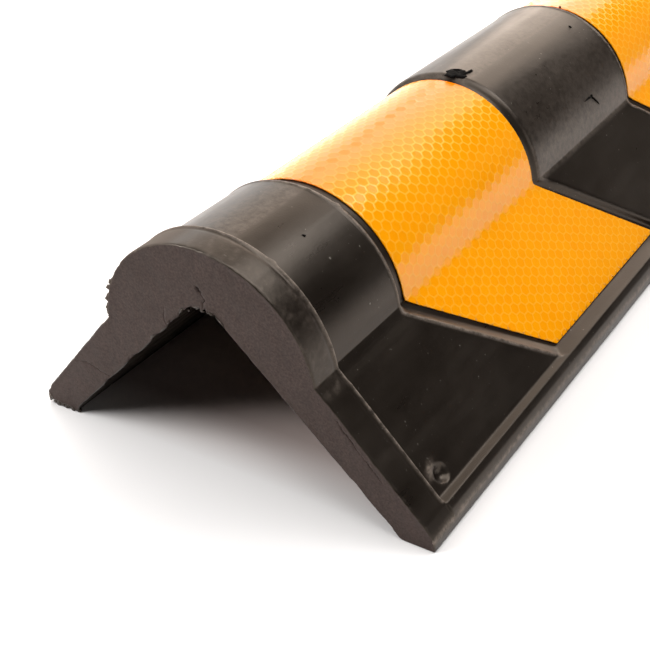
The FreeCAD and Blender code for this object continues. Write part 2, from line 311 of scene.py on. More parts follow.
def pocket_wall(edge, gap, side):
    """Stations down one wall of a pocket.

    side is -1 at its near end, where a fine bead runs along a crisp edge, and 1 at its far end,
    where the edge is softly rounded.
    """
    crisp = side < 0
    nose_rise = COLLAR_RADIUS - POCKET_RADIUS
    flange_rise = POCKET_DROP - PANEL_DROP
    stations = []
    for step in CRISP_STEPS if crisp else SOFT_STEPS:
        nose_shift = gap + nose_rise * (1 - step)
        flange_shift = (gap + flange_rise * (1 - step)) * math.sqrt(2.0)
        shift = nose_shift * (1 - FLANGE_SHARE) + flange_shift * FLANGE_SHARE
        along = edge + REACH + side * shift
        if crisp:
            ridge = bell(step, -0.28, 0.19)
            bead = 0.03 * bell(step, -0.75, 0.2) - 0.12 * ridge
            share = rounded_ramp(step, 0.14)
            # The pale bead along this crisp edge is partly a painted highlight line.
            stations.append(station(along, PANEL, POCKET, share, bead=bead, edge_wear_and_highlight=0.85 * ridge))
        else:
            stations.append(station(along, PANEL, POCKET, rounded_ramp(step, 0.5)))
    return stations if crisp else stations[::-1]


# Distance from the end face, and how far its edges are rounded in there.
RIM_STEPS = (
    (0.0, 0.45), (0.1, 0.2), (0.35, 0.04),
    *((step, 0.0) for step in (0.8, 1.4, 2.6, 4.5, 7.0, 9.0)),
)
STRIP_STEPS = (-2.5, -1.9, -1.4, -1.0, -0.7, -0.45, -0.2, 0.05, 0.3, 0.55, 0.85, 1.3)
DIMPLE_STATIONS = 13


def end_stations(direction):
    """Stations from one end face over its strip and past the dimples."""
    flat = np.ones(len(REACH))
    stations = [station(flat * along, STRIP, STRIP, 0.0, inset) for along, inset in RIM_STEPS]
    for step in STRIP_STEPS:
        ridge = bell(step, -0.5, 0.55)
        bead = 0.10 * bell(step, -1.9, 0.6) - 0.15 * ridge
        share = rounded_ramp((step + 0.35) / 0.7, 0.3)
        along = flat * (STRIP_WIDTH + step)
        # The pale bead at the strip's edge is partly a painted highlight line.
        stations.append(station(along, STRIP, PANEL, share, bead=bead, edge_wear_and_highlight=0.95 * ridge))
    for step in range(DIMPLE_STATIONS):
        along = flat * (STRIP_WIDTH + 2.1 + step * 0.85)
        stations.append(station(along, PANEL, PANEL, 0.0))
    if direction < 0:
        stations = [(LENGTH - along, loop, edge_wear_and_highlight) for along, loop, edge_wear_and_highlight in reversed(stations)]
    return stations


PLAIN_STEP = 9.0                      # longest gap between stations


def all_stations():
    """Stations over the whole length, with plain ones filled in between."""
    fixed = end_stations(1)
    for start in SHEET_STARTS:
        fixed += pocket_wall(start, NEAR_GAP, -1)
        fixed += pocket_wall(start + SHEET_LENGTH, FAR_GAP, 1)
    fixed += end_stations(-1)
    stations = [fixed[0]]
    for current in fixed[1:]:
        previous = stations[-1]
        count = int(float(np.max(current[0] - previous[0])) // PLAIN_STEP)
        for step in range(1, count + 1):
            share = step / (count + 1)
            along = previous[0] * (1 - share) + current[0] * share
            loop = previous[1] * (1 - share) + current[1] * share
            stations.append((along, loop, np.zeros(len(LIP_SHARE))))
        stations.append(current)
    return stations


# ---------------------------------------------------------------- small shapes on the surface
def end_distance(along):
    return np.minimum(along, LENGTH - along)


def waviness(across, along, up):
    """Slow, shallow unevenness of moulded rubber, from 0 to 1."""
    values = noise_at(zip(across, along, up), (0.035, 0.035, 0.035))
    return np.clip(values * 0.5 + 0.5, 0.0, 1.0)


def dimple_place(across, along, up):
    """Distance from the nearest dimple's centre, steps up-slope and along from it, and level."""
    off_tip = np.stack([np.abs(across), up], axis=-1) - TIP
    rise = off_tip @ UPWARD - DIMPLE_RUN
    level = off_tip @ OUTWARD
    beyond = end_distance(along) - DIMPLE_END
    return np.hypot(rise, beyond), rise, beyond, level


def dimple_depth(across, along, up):
    """Depth of the four fixing dimples at each point."""
    distance, rise, beyond, level = dimple_place(across, along, up)
    ball = (DIMPLE_RADIUS ** 2 + DIMPLE_DEPTH ** 2) / (2 * DIMPLE_DEPTH)
    inside = np.maximum(ball ** 2 - distance ** 2, 0.0)
    depth = np.maximum(np.sqrt(inside) - (ball - DIMPLE_DEPTH), 0.0)
    return np.where(np.abs(level + PANEL_DROP) < 0.6, depth, 0.0)


def dimple_scuff(across, along, up):
    """Pale scuffed arc above each dimple."""
    distance, rise, beyond, level = dimple_place(across, along, up)
    turn = np.arctan2(rise, beyond)
    arc = bell(distance, 4.7, 1.2) * bell(turn, 2.3, 0.6)
    return np.where(np.abs(level + PANEL_DROP) < 0.9, arc, 0.0)


def nose_place(across, up):
    """Angle above the horizontal, from the right, and distance from the middle of the nose."""
    return np.degrees(np.arctan2(up - NOSE_HEIGHT, across)), np.hypot(up - NOSE_HEIGHT, across)


# Parting lines on the nose: angle, first and last place along, height, and half width in degrees.
PARTING_LINES = (
    (58.8, 0.0, 11.0, 0.16, 0.9),
    (63.0, 34.0, 50.0, 0.10, 1.2),
    (82.0, 13.0, 48.0, -0.12, 0.9),
    (78.5, 152.0, 238.0, -0.12, 0.9),
)
FOLD_SLOPE = 0.036                    # how fast the nose falls past its fold line, per degree
FOLD_REACH = 8.0                      # degrees


def fold_line(along):
    """Angle of the faint fold along the collars, where two mould halves met."""
    return np.where(along < 100.0, 82.0, 78.5)


def on_strip(along):
    return end_distance(along) < STRIP_WIDTH


def parting_ridges(across, along, up):
    """Ridges where the mould parted, and the fold, as a height above the smooth nose."""
    angle, radius = nose_place(across, up)
    on_nose = (radius > POCKET_RADIUS + 0.5) & (angle > 10.0)
    height = np.zeros(across.shape)
    for line, first, last, rise, width in PARTING_LINES:
        within = soft_step(along, first, 0.5) * soft_step(along, last, -0.5)
        height += rise * within * bell(angle, line, width)
    past = np.maximum(angle - fold_line(along), 0.0)
    height -= np.where(on_strip(along), 0.0, FOLD_SLOPE * past * np.exp(-past / FOLD_REACH))
    return np.where(on_nose, height, 0.0)


def painted_fold_sheen(across, along, up):
    """The side of the nose past its parting line is rougher than the rest, and painted paler: a painted
    sheen standing in for its brighter reflection.
    """
    angle, radius = nose_place(across, up)
    on_nose = (radius > POCKET_RADIUS + 0.5) & (angle > 10.0) & (angle < 150.0)
    past = soft_step(angle, fold_line(along), 0.35)
    return np.where(on_nose & ~on_strip(along), past * 0.26, 0.0)


def strip_dull_and_sheen(across, along, up):
    """The end strips are rougher on the left of the nose, and painted paler there as a painted sheen."""
    angle, radius = nose_place(across, up)
    on_nose = on_strip(along) & (radius > POCKET_RADIUS)
    return np.where(on_nose, soft_step(angle, 103.0, 3.0), 0.0)


def haze_and_painted_reflection(across, along, up):
    """Paler grey on the collars away from the ends: a thin grey film up the side of the nose, and a
    stronger painted reflection low on it.
    """
    angle, radius = nose_place(across, up)
    on_nose = (np.abs(radius - COLLAR_RADIUS) < 0.5) & (up > 46.0)
    inner = end_distance(along) > 140.0
    rise = np.minimum(angle, 180.0 - angle)
    low = soft_step(rise, 22.0, -4.0)
    side = soft_step(rise, 62.0, -4.0)
    return np.where(on_nose & inner, 0.09 * side + 0.22 * low, 0.0)


def lip_scratches_and_highlight(across, along, up):
    """Pale streak on the outer side of the lip: patchy rubbed scratches, and a painted highlight along it.
    """
    height = bell(up, 4.1, 1.3) * (np.abs(across) > 77.0)
    patchy = noise_at(zip(across, along, up), (0.02, 0.05, 0.6))
    return height * np.clip(0.7 + 0.9 * patchy, 0.0, 1.0)


def edge_jog(across, along, up):
    """The beads step sideways where they meet a parting line."""
    angle, radius = nose_place(across, up)
    strip_jog = bell(angle, 60.2, 1.4) * bell(along, 12.2, 0.9)
    collar_jog = bell(angle, 64.4, 1.6) * bell(along, 49.6, 1.2)
    return np.where(radius > POCKET_RADIUS, strip_jog + 0.9 * collar_jog, 0.0)


# Grooves along the inner faces: distance down the face from the apex, half width, depth.
GROOVES = ((10.0, 2.2, 0.8), (19.0, 1.8, 0.6), (30.0, 2.4, 0.7), (47.0, 3.0, 0.6), (66.0, 1.6, 0.4))


def inner_grooves(across, up):
    """Shallow lengthwise grooves on the inner faces, deeper on the left."""
    distance = (np.abs(across) - up + APEX) / math.sqrt(2.0)
    inner = (np.abs(np.abs(across) + up - APEX) < 0.4) & (np.abs(across) > APEX_FLAT)
    depth = np.zeros(across.shape)
    for centre, width, deep in GROOVES:
        depth += deep * bell(distance, centre, width)
    return np.where(inner, depth * np.where(across < 0, 1.6, 0.5), 0.0)


def rough_edge(across, along, up):
    """Uneven, slightly torn edges at the end faces, worst at the apex and under the left foot."""
    end = end_distance(along)
    fine = noise_at(zip(across, along, up), (0.9, 0.35, 0.9))
    inner = np.abs(across) + up < APEX + 0.6
    apex = bell(across, 0.0, 9.0) * inner
    tip = bell(across, -78.0, 6.0) * (up < 7.0)
    edge = np.clip(fine - 0.05, 0.0, 1.0) * 0.7 * np.exp(-end / 0.7)
    torn = np.clip(fine + 0.35, 0.0, 1.0) * np.exp(-end / 1.6)
    scraped = 0.25 * inner * np.clip(fine, 0.0, 1.0) * np.exp(-end / 2.0)
    return edge + torn * (1.1 * apex + tip) + scraped


def worn_foot(across, along):
    """The underside of the left foot is torn away next to the near end face."""
    near = bell(along, 0.0, 2.2) * (across < 0)
    ragged = noise_at([(x, 3.0, 0.0) for x in across], (0.5, 1.0, 1.0))
    return near * (1.7 + 1.1 * ragged)


def untangle(ring):
    """Straighten the small loops that an outline makes where it is pushed across itself."""
    flat = [Vector((point[0], point[2])) for point in ring]
    count = len(flat)
    for first in range(count):
        for last in range(first + 2, first + 12):
            start, following = flat[first], flat[(first + 1) % count]
            before, end = flat[last % count], flat[(last + 1) % count]
            crossing = intersect_line_line_2d(start, following, before, end)
            if crossing is None:
                continue
            for index in range(first + 1, last + 1):
                share = 2 * (index - first) / (last + 1 - first)
                place = start.lerp(crossing, share) if share < 1 else crossing.lerp(end, share - 1)
                flat[index % count] = place
    return np.array([(place.x, point[1], place.y) for place, point in zip(flat, ring)])


def shaped_ring(along, loop):
    """A ring of the body with the small shapes added."""
    normal = outward_normals(loop)
    across, up = loop[:, 0], loop[:, 1]
    push = -0.14 * waviness(across, along, up)
    push -= dimple_depth(across, along, up)
    push += parting_ridges(across, along, up)
    push -= 0.30 * (nose_place(across, up)[1] > STRIP_RADIUS - 0.9) * (up > NOSE_HEIGHT)
    push -= inner_grooves(across, up)
    push -= rough_edge(across, along, up)
    floor = (up < 0.5) & (np.abs(normal[:, 1]) > 0.9)
    push = np.where(floor, -worn_foot(across, along), push)
    moved = loop + normal * push[:, None]
    shifted = along + edge_jog(across, along, up)
    ring = np.stack([moved[:, 0], shifted, np.maximum(moved[:, 1], 0.0)], axis=1)
    return untangle(ring) if end_distance(along).min() < 3.0 else ring


def ring_wear_and_sheen(along, loop, edge_wear_and_highlight):
    """How dusty and scuffed each point of a ring is, with painted sheen, painted reflection and painted
    highlight lines added in, from 0 to 1.
    """
    across, up = loop[:, 0], loop[:, 1]
    outside = np.abs(across) + up > APEX + 1.0
    # Rubbed beads, partly painted highlight lines, and the real scuffs above the dimples.
    wear_and_sheen = edge_wear_and_highlight * outside + 0.9 * dimple_scuff(across, along, up)
    # Painted sheen past the fold, grey film with painted reflection low on the nose, and lip scratches with
    # a painted highlight.
    wear_and_sheen += painted_fold_sheen(across, along, up) + haze_and_painted_reflection(across, along, up) + lip_scratches_and_highlight(across, along, up)
    strip = (end_distance(along) < STRIP_WIDTH - 1.0) & (up > NOSE_HEIGHT)
    mottled = noise_at(zip(across, along, up), (0.7, 0.8, 0.7))
    right = soft_step(nose_place(across, up)[0], 92.0, -4.0)
    wear_and_sheen += strip * (0.05 + 0.32 * np.clip(mottled, 0.0, 1.0)) * (0.3 + 0.7 * right)
    return np.clip(wear_and_sheen, 0.0, 1.0)


# ---------------------------------------------------------------- end faces
CAP_SPACING = 1.0


def inside_loop(points, loop, margin):
    """Which points lie inside the loop and at least margin away from it."""
    inside = np.zeros(len(points), bool)
    nearest = np.full(len(points), 1e9)
    following = np.roll(loop, -1, axis=0)
    for (x0, y0), (x1, y1) in zip(loop, following):
        crosses = (points[:, 1] < y0) != (points[:, 1] < y1)
        if y1 != y0:
            at = (x1 - x0) * (points[:, 1] - y0) / (y1 - y0) + x0
            inside ^= crosses & (points[:, 0] < at)
        edge = np.array([x1 - x0, y1 - y0])
        length = max(float(edge @ edge), 1e-12)
        share = np.clip(((points - [x0, y0]) @ edge) / length, 0.0, 1.0)
        distance = np.linalg.norm(points - ([x0, y0] + share[:, None] * edge), axis=1)
        nearest = np.minimum(nearest, distance)
    return inside & (nearest > margin)


# Cracks in the near end face: corner points across and up, width and depth.
CRACKS = (
    (((-0.6, 71.6), (0.2, 70.6), (1.1, 69.2)), 0.75, 2.4),
    (((1.3, 69.0), (2.5, 67.6), (1.2, 66.0), (1.6, 64.2)), 0.16, 0.5),
    (((-60.4, 24.6), (-56.0, 25.2), (-52.9, 24.7), (-48.6, 23.4), (-45.6, 23.0)), 0.14, 0.45),
    (((46.6, 38.6), (48.4, 36.2), (51.0, 33.0), (54.2, 29.0)), 0.28, 0.9),
    (((54.8, 28.2), (58.0, 24.6), (61.5, 20.6)), 0.12, 0.35),
    (((-15.0, 52.6), (-15.8, 56.0), (-15.0, 59.0)), 0.10, 0.25),
)
CRACK_STEP = 0.45


def crack_lines(random):
    """Points down both sides and the middle of every crack, as (across, up, depth) lines."""
    lines = []
    for corners, width, depth in CRACKS:
        corners = np.array(corners)
        length = float(np.sum(np.linalg.norm(np.diff(corners, axis=0), axis=1)))
        count = max(int(length / CRACK_STEP), 3)
        share = np.linspace(0, len(corners) - 1, count)
        across = np.interp(share, range(len(corners)), corners[:, 0])
        up = np.interp(share, range(len(corners)), corners[:, 1])
        direction = np.stack([np.gradient(across), np.gradient(up)], axis=1)
        direction /= np.linalg.norm(direction, axis=1)[:, None]
        aside = np.stack([-direction[:, 1], direction[:, 0]], axis=1)
        wander = random.normal(0.0, 0.12, count)
        taper = np.sin(np.linspace(0.12, 3.02, count))
        middle = np.stack([across, up], axis=1) + aside * wander[:, None]
        half = (width * taper * random.uniform(0.6, 1.3, count))[:, None]
        for offset, deep in ((-1.0, 0.0), (0.0, 1.0), (1.0, 0.0)):
            line = middle + aside * half * offset
            lines.append([(x, z, deep * depth * t) for (x, z), t in zip(line, taper)])
    return lines


def cap_grain(across, up):
    """How far a point of an end face lies behind its plane from uneven cutting."""
    place = Vector((across, up, 0.0))
    return 0.2 + noise.noise(place * 0.22) * 0.14 + noise.noise(place * 0.8) * 0.09


def cap_lattice(flat):
    """Evenly spread points inside the outline of an end face."""
    low = flat.min(axis=0)
    high = flat.max(axis=0)
    lattice = []
    for row, height in enumerate(np.arange(low[1] + 0.5, high[1], CAP_SPACING * 0.87)):
        shift = 0.5 * CAP_SPACING * (row % 2)
        lattice += [(across, height) for across in np.arange(low[0] + shift, high[0], CAP_SPACING)]
    lattice = np.array(lattice)
    return lattice[inside_loop(lattice, flat, 0.45 * CAP_SPACING)]


def inside_part(line, flat):
    """Points of a crack line that lie inside the outline."""
    within = inside_loop(np.array(line)[:, :2], flat, 0.2)
    return [point for point, inside in zip(line, within) if inside]


def clear_of(line, lattice):
    """Lattice points that keep their distance from a crack line."""
    places = np.array(line)[:, :2]
    gaps = np.linalg.norm(lattice[:, None, :] - places[None], axis=2).min(axis=1)
    return lattice[gaps > 0.3]


def cap_mesh(ring, along, inward, lines):
    """Points and triangles that close one end. ring is the loop of the end station.

    Each point is the number of a ring point, or a new place with how deep it lies in a crack.
    """
    flat = ring[:, [0, 2]]
    count = len(flat)
    lattice = cap_lattice(flat)
    points = [Vector(point) for point in flat]
    edges = [(index, (index + 1) % count) for index in range(count)]
    depths = {}
    for line in filter(None, (inside_part(line, flat) for line in lines)):
        first = len(points)
        for across, up, depth in line:
            depths[len(points)] = depth
            points.append(Vector((across, up)))
        edges += [(index, index + 1) for index in range(first, len(points) - 1)]
        lattice = clear_of(line, lattice)
    points += [Vector(point) for point in lattice]
    result = delaunay_2d_cdt(points, edges, [], 1, 1e-6)
    vertices, faces, origins = result[0], result[2], result[3]
    placed = []
    for vertex, origin in zip(vertices, origins):
        on_ring = [index for index in origin if index < count]
        if on_ring:
            placed.append((on_ring[0], None, 0.0))
        else:
            crack = max([depths.get(index, 0.0) for index in origin] + [0.0])
            depth = cap_grain(vertex.x, vertex.y) + crack
            placed.append((None, (vertex.x, along + inward * depth, vertex.y), min(crack / 0.25, 1.0)))
    return placed, faces


# ---------------------------------------------------------------- torn spots and flash
# Torn spots on the nose: angle, place along, length, width, direction in degrees, seed.
TORN_SPOTS = (
    (89.6, 152.8, 7.4, 5.4, 8.0, 3),
    (85.6, 152.6, 5.4, 4.2, 50.0, 4),
    (87.6, 154.6, 4.6, 3.0, 20.0, 13),
    (83.4, 156.6, 6.2, 1.0, 82.0, 5),
    (89.6, 156.4, 4.4, 0.8, 15.0, 6),
    (24.8, 203.4, 5.8, 0.8, 88.0, 7),
    (20.6, 208.4, 5.6, 0.7, 42.0, 8),
    (24.4, 206.2, 1.6, 1.3, 10.0, 12),
    (62.0, 29.8, 0.9, 0.55, 30.0, 9),
    (67.4, 226.9, 1.3, 0.6, 0.0, 10),
    (84.5, 240.0, 0.8, 0.5, 10.0, 11),
)
# Flash of rubber along lines on the near end: first and last place across and up, number, size, seed.
FLASH = (
    ((-36.3, 61.8), (-37.6, 59.6), 3, 1.2, 21),
    ((-38.8, 56.4), (-40.0, 48.6), 6, 1.2, 24),
    ((-78.2, 3.6), (-76.6, 1.0), 4, 1.35, 26),
    ((-75.6, 0.9), (-66.2, 1.0), 9, 1.45, 28),
    ((-5.4, 61.6), (-2.6, 62.9), 2, 0.7, 34),
    ((0.4, 62.7), (3.4, 63.2), 3, 0.95, 35),
    ((66.4, 1.2), (67.6, 0.8), 2, 0.75, 43),
)
CRUMB_GAP = 0.02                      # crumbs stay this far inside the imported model's box


def band_faces(rings, size):
    """Faces between neighbouring rings of points, numbered ring after ring."""
    faces = []
    for ring in range(rings - 1):
        for step in range(size):
            following = (step + 1) % size
            faces.append((ring * size + step, (ring + 1) * size + step,
                          (ring + 1) * size + following, ring * size + following))
    return faces


def torn_spot(angle, along, length, width, direction, seed):
    """Rings of points of a ragged, slightly raised scab on the nose, and its faces."""
    random = np.random.default_rng(seed)
    count = 26
    turn = np.linspace(0, 2 * math.pi, count, endpoint=False)
    ragged = 1 + 0.28 * np.sin(turn * 3 + random.uniform(0, 6)) + random.normal(0, 0.2, count)
    heading = math.radians(direction)
    points = []
    for scale, lift in ((0.35, 0.36), (0.75, 0.3), (0.96, 0.14), (1.05, -0.35)):
        for step in range(count):
            u = scale * ragged[step] * 0.5 * length * math.cos(turn[step])
            v = scale * ragged[step] * 0.5 * width * math.sin(turn[step])
            arc = u * math.cos(heading) - v * math.sin(heading)
            forward = u * math.sin(heading) + v * math.cos(heading)
            radius = COLLAR_RADIUS + lift + random.normal(0, 0.05)
            spot = nose_point(radius, math.radians(angle) - arc / COLLAR_RADIUS)
            points.append((spot[0], along + forward, spot[1]))
    faces = [tuple(range(count))] + band_faces(4, count)
    faces.append(tuple(range(4 * count - 1, 3 * count - 1, -1)))
    return points, faces


def crumb(across, along, up, size, random):
    """A small ragged lump of rubber."""
    rows, columns = 6, 9
    points = []
    stretch = random.uniform(0.75, 1.25, 3)
    for row in range(1, rows):
        rise = math.pi * row / rows
        for column in range(columns):
            turn = 2 * math.pi * column / columns
            radius = size * random.uniform(0.6, 1.1)
            points.append((
                max(across + radius * stretch[0] * math.sin(rise) * math.cos(turn), CRUMB_GAP - FOOT_OUTER),
                max(along + radius * 0.8 * math.sin(rise) * math.sin(turn), CRUMB_GAP),
                max(up + radius * stretch[2] * math.cos(rise), 0.0),
            ))
    across = max(across, CRUMB_GAP - FOOT_OUTER)
    points.append((across, along, up + 0.7 * size))
    points.append((across, along, max(up - 0.7 * size, 0.0)))
    faces = band_faces(rows - 1, columns)
    last = (rows - 2) * columns
    for column in range(columns):
        following = (column + 1) % columns
        faces.append((len(points) - 2, column, following))
        faces.append((len(points) - 1, last + following, last + column))
    return points, faces


def flash_crumbs():
    """Ragged crumbs along every line of flash."""
    crumbs = []
    for first, last, count, size, seed in FLASH:
        random = np.random.default_rng(seed)
        for share in np.linspace(0.0, 1.0, count):
            across = first[0] + (last[0] - first[0]) * share + random.normal(0.0, 0.3)
            up = first[1] + (last[1] - first[1]) * share + random.normal(0.0, 0.25)
            crumbs.append(crumb(across, 0.85, up, size * random.uniform(0.6, 1.1), random))
    return crumbs


def add_caps(grid, points, faces, slots, crack_shade):
    """End faces. The last argument takes how deep in a crack each of their points lies, which sets the
    painted shade in the cracks.
    """
    size = len(grid[0])
    lines = crack_lines(np.random.default_rng(50))
    for row, along, inward, cracks in ((0, 0.0, 1.0, lines), (len(grid) - 1, LENGTH, -1.0, [])):
        placed, triangles = cap_mesh(grid[row], along, inward, cracks)
        numbers = []
        for on_ring, place, crack in placed:
            if place is None:
                numbers.append(row * size + on_ring)
            else:
                numbers.append(len(points))
                points.append(place)
                crack_shade[numbers[-1]] = crack
        for triangle in triangles:
            face = [numbers[index] for index in triangle]
            faces.append(tuple(face if inward > 0 else reversed(face)))
            slots.append(1)


def add_extras(points, faces, slots):
    """Torn spots and crumbs, sunk into the body so that they are one piece with it."""
    extras = [(torn_spot(*spot), 2) for spot in TORN_SPOTS]
    extras += [(lump, 0) for lump in flash_crumbs()]
    for (new_points, new_faces), slot in extras:
        first = len(points)
        points.extend(new_points)
        faces.extend(tuple(first + index for index in face) for face in new_faces)
        slots.extend([slot] * len(new_faces))


def close_and_turn_out(mesh):
    """Fill pinholes, and turn every face outward."""
    shape = bmesh.new()
    shape.from_mesh(mesh)
    open_edges = [edge for edge in shape.edges if edge.is_boundary]
    bmesh.ops.holes_fill(shape, edges=open_edges, sides=0)
    bmesh.ops.recalc_face_normals(shape, faces=shape.faces)
    shape.to_mesh(mesh)
    shape.free()


def build_body(materials):
    """The moulded body as one mesh. materials are those of its skin, end faces and torn spots."""
    stations = all_stations()
    grid = [shaped_ring(along, loop) for along, loop, edge_wear_and_highlight in stations]
    wear_and_sheen = np.concatenate([ring_wear_and_sheen(along, loop, edge_wear_and_highlight) for along, loop, edge_wear_and_highlight in stations])
    points = [tuple(point) for ring in grid for point in ring]
    faces = [(a, b, c, d) for a, d, c, b in band_faces(len(grid), len(grid[0]))]
    slots = [0] * len(faces)
    crack_shade = {}
    add_caps(grid, points, faces, slots, crack_shade)
    add_extras(points, faces, slots)
    mesh = add_mesh("guard_rubber", points, faces)
    mesh.polygons.foreach_set("material_index", slots)
    add_values(mesh, "wear_and_sheen", np.concatenate([wear_and_sheen, np.zeros(len(points) - len(wear_and_sheen))]))
    add_values(mesh, "dull_and_sheen", strip_dull_and_sheen(*np.array(points).T))
    add_values(mesh, "crack", [crack_shade.get(index, 0.0) for index in range(len(points))])
    for material in materials:
        mesh.materials.append(material)
    mesh.validate()
    close_and_turn_out(mesh)
    mesh.update()
    mesh.shade_smooth()
    piece = add_object("guard_rubber", mesh)
    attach(piece, "root")
    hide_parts("rubber_body")


# ---------------------------------------------------------------- honeycomb sheets
CELL_PITCH = 4.13
CELL_WALL = 0.16                      # half of the wall between two cells
CELL_SLOPE = 0.30
CELL_DEPTH = 0.045
ROW_PITCH = CELL_PITCH * math.sqrt(3.0) / 2
END_MARGIN = 4.0                      # cells this far past a sheet's ends can still touch it
SIDE_MARGIN = 3.0
SHELL_THICKNESS = 0.42
CREASE_ROUND = 2.6                    # the film bridges the crease over this much on either side
SHEET_RADIUS = POCKET_RADIUS + SHEET_THICKNESS
SHEET_LEVEL = SHEET_THICKNESS - POCKET_DROP
SHEET_CREASE = crease_run(SHEET_RADIUS, SHEET_LEVEL)
SHEET_EDGE_RUN = LIP_INNER + LIP_RAISE + POCKET_DROP + SHEET_EDGE_GAP
CREASE_POINT = flange_point(SHEET_CREASE, SHEET_LEVEL)
CREASE_ANGLE = math.atan2(CREASE_POINT[1] - NOSE_HEIGHT, CREASE_POINT[0])
CREASE_ARC = SHEET_RADIUS * (math.pi / 2 - CREASE_ANGLE)
EDGE_ARC = CREASE_ARC + SHEET_CREASE - SHEET_EDGE_RUN
FLOOR_SINK = 0.01


def bridge_spot(share, height):
    """Place on the soft bend with which the film crosses the crease."""
    start = nose_point(SHEET_RADIUS, CREASE_ANGLE + CREASE_ROUND / SHEET_RADIUS)
    end = flange_point(SHEET_CREASE - CREASE_ROUND, SHEET_LEVEL)
    middle = CREASE_POINT
    spot = start * (1 - share) ** 2 + middle * 2 * share * (1 - share) + end * share ** 2
    heading = (middle - start) * (1 - share) + (end - middle) * share
    outward = np.array([-heading[1], heading[0]]) / np.linalg.norm(heading)
    return spot + outward * height


def sheet_point(arc, along, height):
    """Place on a sheet: arc is measured over the nose from its top, positive to the right."""
    side = 1.0 if arc >= 0 else -1.0
    arc = abs(arc)
    past = arc - CREASE_ARC
    if past <= -CREASE_ROUND:
        spot = nose_point(SHEET_RADIUS + height, math.pi / 2 - arc / SHEET_RADIUS)
    elif past < CREASE_ROUND:
        spot = bridge_spot((past + CREASE_ROUND) / (2 * CREASE_ROUND), height)
    else:
        spot = flange_point(SHEET_CREASE - past, SHEET_LEVEL + height)
    return Vector((side * spot[0], along, spot[1]))


def cell_plane(ring):
    """Middle and normal of the flat floor of a cell."""
    corners = [sheet_point(*point) for point in ring]
    middle = sum(corners, Vector()) / len(corners)
    normal = Vector()
    for corner, following in zip(corners, corners[1:] + corners[:1]):
        normal += (corner - middle).cross(following - middle)
    return middle, normal.normalized()


def floor_point(point, plane):
    """Place of a floor point, moved onto the plane of its cell."""
    middle, normal = plane
    spot = sheet_point(*point)
    return spot - normal * ((spot - middle).dot(normal) + FLOOR_SINK)


def clip(polygon, keep):
    """Part of a polygon on the positive side of keep(arc, along)."""
    result = []
    values = [keep(point[0], point[1]) for point in polygon]
    for index, point in enumerate(polygon):
        other = polygon[(index + 1) % len(polygon)]
        value = values[index]
        next_value = values[(index + 1) % len(polygon)]
        if value >= 0:
            result.append(point)
        if (value > 0 > next_value) or (value < 0 < next_value):
            share = value / (value - next_value)
            result.append(tuple(a + (b - a) * share for a, b in zip(point, other)))
    return result


def leaf_region(start, side):
    """Flange leaf of a sheet, whose ends slant outward. side is 1 on the right, -1 on the left."""
    far = start + SHEET_LENGTH
    return [
        lambda arc, along: side * arc - CREASE_ARC,
        lambda arc, along: EDGE_ARC - side * arc,
        lambda arc, along: along - start - (side * arc - CREASE_ARC),
        lambda arc, along: far + (side * arc - CREASE_ARC) - along,
    ]


def sheet_regions(start):
    """Nose and two flange leaves of a sheet, each as the half-planes that bound it."""
    far = start + SHEET_LENGTH
    nose = [
        lambda arc, along: CREASE_ARC - arc,
        lambda arc, along: CREASE_ARC + arc,
        lambda arc, along: along - start,
        lambda arc, along: far - along,
    ]
    return [nose, leaf_region(start, 1), leaf_region(start, -1)]


def cell_polygons(arc, along):
    """Floor, slopes and half walls of one honeycomb cell."""
    inner = CELL_PITCH / 2
    rings = []
    for inset, height in ((CELL_WALL + CELL_SLOPE, -CELL_DEPTH), (CELL_WALL, 0.0), (0.0, 0.0)):
        radius = (inner - inset) / math.cos(math.pi / 6)
        ring = []
        for corner in range(6):
            angle = math.pi / 6 + corner * math.pi / 3
            ring.append((arc + radius * math.cos(angle), along + radius * math.sin(angle), height))
        rings.append(ring)
    polygons = [rings[0]]
    for low, high in ((rings[0], rings[1]), (rings[1], rings[2])):
        for corner in range(6):
            following = (corner + 1) % 6
            polygons.append([low[following], low[corner], high[corner], high[following]])
    return polygons


def wall_paleness_and_highlight(arc):
    """How pale the cell walls are: a paler wall colour everywhere, plus a painted highlight that is
    strongest where the nose turns away from its top.
    """
    return 0.26 + 0.55 * bell(abs(arc), 18.0, 9.0)


def cell_centres(start):
    """Middles of the cells that can touch a sheet, row by row."""
    half_columns = int(EDGE_ARC / CELL_PITCH) + 2
    for row in range(int(LENGTH / ROW_PITCH) + 2):
        along = row * ROW_PITCH
        for column in range(-half_columns, half_columns + 1):
            arc = (column + 0.5 * (row % 2)) * CELL_PITCH
            slant = max(abs(arc) - CREASE_ARC, 0.0)
            in_length = start - END_MARGIN < along - slant < start + SHEET_LENGTH + END_MARGIN
            if in_length and abs(arc) <= EDGE_ARC + SIDE_MARGIN:
                yield arc, along


def clipped(polygon, region):
    """Part of a polygon inside a region, empty when nothing is left of it."""
    for keep in region:
        if len(polygon) >= 3:
            polygon = clip(polygon, keep)
    return polygon if len(polygon) >= 3 else []


def point_number(point, plane, numbers, points, paleness):
    """Number of a point in the mesh. A new one is added with how pale it is."""
    key = tuple(round(value, 3) for value in point)
    if key not in numbers:
        numbers[key] = len(points)
        on_floor = point[2] < -0.999 * CELL_DEPTH
        points.append(floor_point(point, plane) if on_floor else sheet_point(*point))
        paleness.append((1.0 + point[2] / CELL_DEPTH) * wall_paleness_and_highlight(point[0]))
    return numbers[key]


